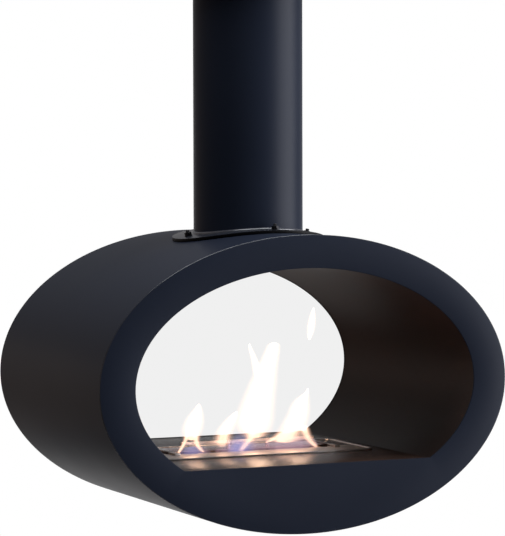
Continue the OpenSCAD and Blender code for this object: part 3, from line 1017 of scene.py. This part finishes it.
# The share of the face plate's oval, squared, past which its rounded edge begins, how much a
# face on that edge may look to the front or back, and one on a flat sheet's edge up or down
RIM_FROM = 0.985
RIM_TURN = 0.99
EDGE_TURN = 0.4


def put(obj, body, finish, node):
    """The piece gets its finish, rides on its body and stands for its CAD node."""
    obj.data.materials.clear()
    obj.data.materials.append(FINISHES[finish])
    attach(obj, body)
    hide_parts(node)
    return obj


def dress_faces(obj, finish, test):
    """Gives the faces that pass the test a finish of their own."""
    obj.data.materials.append(FINISHES[finish])
    for face in obj.data.polygons:
        if test(face):
            face.material_index = 1


def on_rim(face):
    """The rounded edge round a face plate. Its paint is glossier, so it catches the overhead lamp, and
    paler, which is a painted highlight.
    """
    x, z = face.center.x / HALF_W, (face.center.z - DRUM_Z) / HALF_H
    return x * x + z * z > RIM_FROM and abs(face.normal.y) < RIM_TURN


def on_edge(face):
    """The upright edge of a sheet that lies flat, which gets near-black paint as painted shade."""
    return abs(face.normal.z) < EDGE_TURN


put(make_outer_shell(), "drum", "paint", "outer_shell")
front = put(make_face_plate("front_plate", FRONT_Y, -1), "drum", "paint", "front_frame")
back = put(make_face_plate("back_plate", BACK_Y, 1), "drum", "paint", "back_frame")
for plate in (front, back):
    # the rim's paler paint is a painted highlight along the plates' edge
    dress_faces(plate, "rim_highlight_paint", on_rim)
put(make_liner(), "drum", "liner", "inner_liner")
flange = make_saddle("flange", FLANGE_R, GASKET_T, FLANGE_TOP, 0.8 * MM)
put(flange, "drum", "flange", "saddle_flange")
# the flange's upright edge is painted near-black: painted shade
dress_faces(flange, "painted_shade_edge_paint", on_edge)
gasket = make_saddle("gasket", GASKET_R, 0, GASKET_T, 0.3 * MM)
put(gasket, "drum", "gasket", "flange_gasket")
put(make_pipe(), "drum", "paint", "drop_pipe")
# the weld's pale paint is a painted highlight
put(make_weld(), "drum", "weld", "foot_weld")
put(make_studs(), "drum", "oxide", "flange_studs")
put(make_washers(), "drum", "oxide", "flange_washers")
put(make_nuts(), "drum", "oxide", "flange_nuts")
put(make_rosette(), "rosette", "paint", "ceiling_rosette")
put(make_burner_top(), "burner", "plate", "burner_top")
put(make_posts(), "lid", "post", "handle_posts")

# CAD nodes whose shape is right: a merged copy with rounded edges stands for each.
# The piece's name, its edge radius in mm, its body, its finish and its slot
ROUNDED = {
    "burner_tray": ("tray", 0.8, "drum", "rim", "stainless"),
    "burner_box": ("fuel_box", 0.4, "burner", "steel", "stainless"),
    "wool_grid": ("grid", 0.2, "burner", "steel", "stainless"),
    "lid_guides": ("guides", 0.3, "burner", "plate", "stainless"),
    "damper_lid": ("lid_plate", 0.5, "lid", "lid", "stainless"),
    "handle_bar": ("bar", 1.2, "lid", "bar", "stainless"),
    "handle_screws": ("bar_screws", 0.2, "lid", "zinc", "zinc"),
    "ceiling_plate": ("anchor_plate", 0.5, "drum", "inner_paint", "dark_steel"),
    "pipe_socket": ("socket", 0.3, "drum", "inner_paint", "dark_steel"),
    "pipe_screws": ("socket_screws", 0.2, "drum", "zinc", "zinc"),
    "rosette_grip_ring": ("grip_ring", 0.6, "rosette", "felt", "felt"),
    "hanger_plate": ("hanger", 0.5, "drum", "inner_paint", "dark_steel"),
    "front_floor_angle": ("front_angle", 0.4, "drum", "inner_paint", "dark_steel"),
    "back_floor_angle": ("back_angle", 0.4, "drum", "inner_paint", "dark_steel"),
    "front_frame_tabs": ("front_tabs", 0.3, "drum", "zinc", "zinc"),
    "back_frame_tabs": ("back_tabs", 0.3, "drum", "zinc", "zinc"),
    "front_rib": ("rib_front", 0.3, "drum", "inner_paint", "dark_steel"),
    "back_rib": ("rib_back", 0.3, "drum", "inner_paint", "dark_steel"),
    "ceramic_wool": ("wool", 3.0, "burner", "fibre", "fibre"),
    "insulation_blanket": ("blanket", 3.0, "drum", "fibre", "fibre"),
    "floor_plate": ("floor", 0.4, "drum", "floor", "floor_steel"),
}
for node, (name, edge, body, finish, slot) in ROUNDED.items():
    put(softened_copy(node, name, edge * MM), body, finish, node)

for layer, (share, cover, strength) in enumerate(FLAME_SHELLS):
    soft_light = flame_light(f"flame_light_{layer}", cover, strength, SOFT_LIGHT)
    hot_light = flame_light(f"hot_light_{layer}", cover, strength, HOT_LIGHT)
    for name, stations in FLAMES.items():
        light = hot_light if name in HOT else soft_light
        light_tongue(make_tongue(f"flame_{name}_{layer}", stations, share), light, name in LOOSE)
haze_light = gas_light()
for layer, share in enumerate(HAZE_SHELLS):
    for name, stations in HAZE.items():
        light_tongue(make_tongue(f"flame_{name}_{layer}", stations, share), haze_light, False)

# A look through a flame crosses many thin shells
bpy.context.scene.cycles.transparent_max_bounces = 64

# ---------- stage, lights and camera ----------

FLOOR_DROP = 1.1
FLOOR_REACH = 2.0
bpy.ops.object.select_all(action="DESELECT")
bpy.ops.mesh.primitive_circle_add(
    vertices=96, radius=FLOOR_REACH, fill_type="NGON", location=(0, 0, cad_low.z - FLOOR_DROP)
)
room_floor = added("room_floor")
pale = Finish("pale_floor", Roughness=0.9, Specular_IOR_Level=0.1)
pale.set({"Base_Color": pale.blend(pale.noise(0.4, 3), (0.60, 0.55, 0.53), (0.64, 0.59, 0.57))})
room_floor.data.materials.append(pale.material)


# Each lamp: its place, its size, its power in watts and its colour. All look at the drum
LAMPS = {
    "key_right": ((7.55, -3.8, DRUM_Z + 0.6), (7.2, 6.4), 880, (0.95, 0.95, 1.0)),
    "fill_left": ((-0.85, 1.55, DRUM_Z - 0.2), (1.3, 1.0), 0.6, (1.0, 0.80, 0.70)),
    "overhead": ((0.1, -0.5, 1.5), (2.2, 1.4), 55, (0.93, 0.95, 1.0)),
}


def soft_box(name, place, size, power, colour):
    """A rectangular lamp that looks at the drum's middle."""
    lamp = bpy.data.lights.new(name, "AREA")
    lamp.shape = "RECTANGLE"
    lamp.size, lamp.size_y = size
    lamp.energy = power
    lamp.color = colour
    obj = bpy.data.objects.new(name, lamp)
    bpy.context.scene.collection.objects.link(obj)
    obj.location = place
    obj.rotation_euler = (Vector(MIDDLE) - Vector(place)).to_track_quat("-Z", "Y").to_euler()
    obj.visible_camera = False


for name, lamp in LAMPS.items():
    soft_box(name, *lamp)

# The pale backdrop seen through the tunnel: its middle, and half its size
BACKDROP_YAW = math.radians(24.1)
BACKDROP_PITCH = math.radians(-4.17)
BACKDROP_HALF = (0.0512, 0.0430)
BACKDROP_SHADE = 0.13

# How far out the backdrop is a full shade greyer, and where it is white again
BACKDROP_EDGE = (1.2, 1.7)

# Light that the room sends back: in front, behind the object, and the share of it from below
ROOM_FRONT = 0.03
ROOM_BEHIND = 0.25
ROOM_LOW = 0.2
ROOM_COOL = (0.98, 0.96, 0.98)
ROOM_WARM = (1.0, 0.83, 0.77)


def make_world():
    """White behind the object, a shade greyer straight through the tunnel. What the lights
    and the matt paint get of the room is dim in front, brighter behind, and warm below."""
    world = bpy.data.worlds.new("studio")
    bpy.context.scene.world = world
    world.use_nodes = True
    world.node_tree.nodes.clear()
    room = Nodes(world.node_tree)
    way = room.add("ShaderNodeTexCoord", out="Generated")

    def along(direction):
        values = {0: way, 1: direction}
        return room.add("ShaderNodeVectorMath", {"operation": "DOT_PRODUCT"}, values, "Value")

    sin_yaw, cos_yaw = math.sin(BACKDROP_YAW), math.cos(BACKDROP_YAW)
    sin_pitch, cos_pitch = math.sin(BACKDROP_PITCH), math.cos(BACKDROP_PITCH)

    # towards the backdrop's middle, and up and across it as a share of half its size
    ahead = along((sin_yaw * cos_pitch, cos_yaw * cos_pitch, sin_pitch))
    rise = along((-sin_yaw * sin_pitch, -cos_yaw * sin_pitch, cos_pitch))
    across = along((cos_yaw, -sin_yaw, 0)) / ahead / BACKDROP_HALF[0]
    upward = rise / ahead / BACKDROP_HALF[1]
    inner, outer = BACKDROP_EDGE
    spot = room.between(across**2 + upward**2, outer, inner) * room.between(ahead, 0.1, 0.2)

    # the room's light, by the way it comes from
    behind = room.between(along((0, 1, 0)), -0.2, 0.7)
    above = room.between(along((0, 0, 1)), -0.35, 0.05)
    height = ROOM_LOW + above * (1 - ROOM_LOW)
    level = behind * height * (ROOM_BEHIND - ROOM_FRONT) + ROOM_FRONT
    warm = (1 - above + room.between(along((1, 0, 0)), 0.0, -0.5)).clipped()
    tone = room.blend(warm, ROOM_COOL, ROOM_WARM)
    shaded = 1 - spot * BACKDROP_SHADE
    dim = room.add("ShaderNodeBackground", values={"Color": tone, "Strength": level})
    white = room.add("ShaderNodeBackground", values={"Color": (1, 1, 1), "Strength": shaded})

    # metal sees the backdrop where it stands behind the object, up to its top edge
    backdrop = room.between(ahead, 0.85, 0.97) * room.between(along((0, 0, 1)), 0.09, 0.03)
    mirrored = room.add("ShaderNodeLightPath", out="Is Glossy Ray") + room.add(
        "ShaderNodeLightPath", out="Is Transmission Ray"
    )
    seen = room.add("ShaderNodeLightPath", out="Is Camera Ray") + mirrored * backdrop
    mix = room.add("ShaderNodeMixShader", values={0: seen.clipped(), 1: dim, 2: white})
    room.add("ShaderNodeOutputWorld", values={"Surface": mix})


make_world()

# The camera stands where the photograph's stood
CAMERA_PLACE = (-2.120, -4.690, DRUM_Z + 0.409)
CAMERA_YAW = 24.425
CAMERA_PITCH = -2.060
CAMERA_ROLL = -0.143
FOCAL_PIXELS = 2441.5
PICTURE_HEIGHT = 536
SENSOR = 36.0

camera_data = bpy.data.cameras.new("camera")
camera_data.sensor_width = SENSOR
camera_data.lens = FOCAL_PIXELS * SENSOR / PICTURE_HEIGHT
camera = bpy.data.objects.new("camera", camera_data)
bpy.context.scene.collection.objects.link(camera)
camera.matrix_world = (
    Matrix.Translation(CAMERA_PLACE)
    @ Matrix.Rotation(math.radians(-CAMERA_YAW), 4, "Z")
    @ Matrix.Rotation(math.radians(90 + CAMERA_PITCH), 4, "X")
    @ Matrix.Rotation(math.radians(CAMERA_ROLL), 4, "Z")
)
bpy.context.scene.camera = camera
bpy.context.scene.view_settings.view_transform = "Standard"
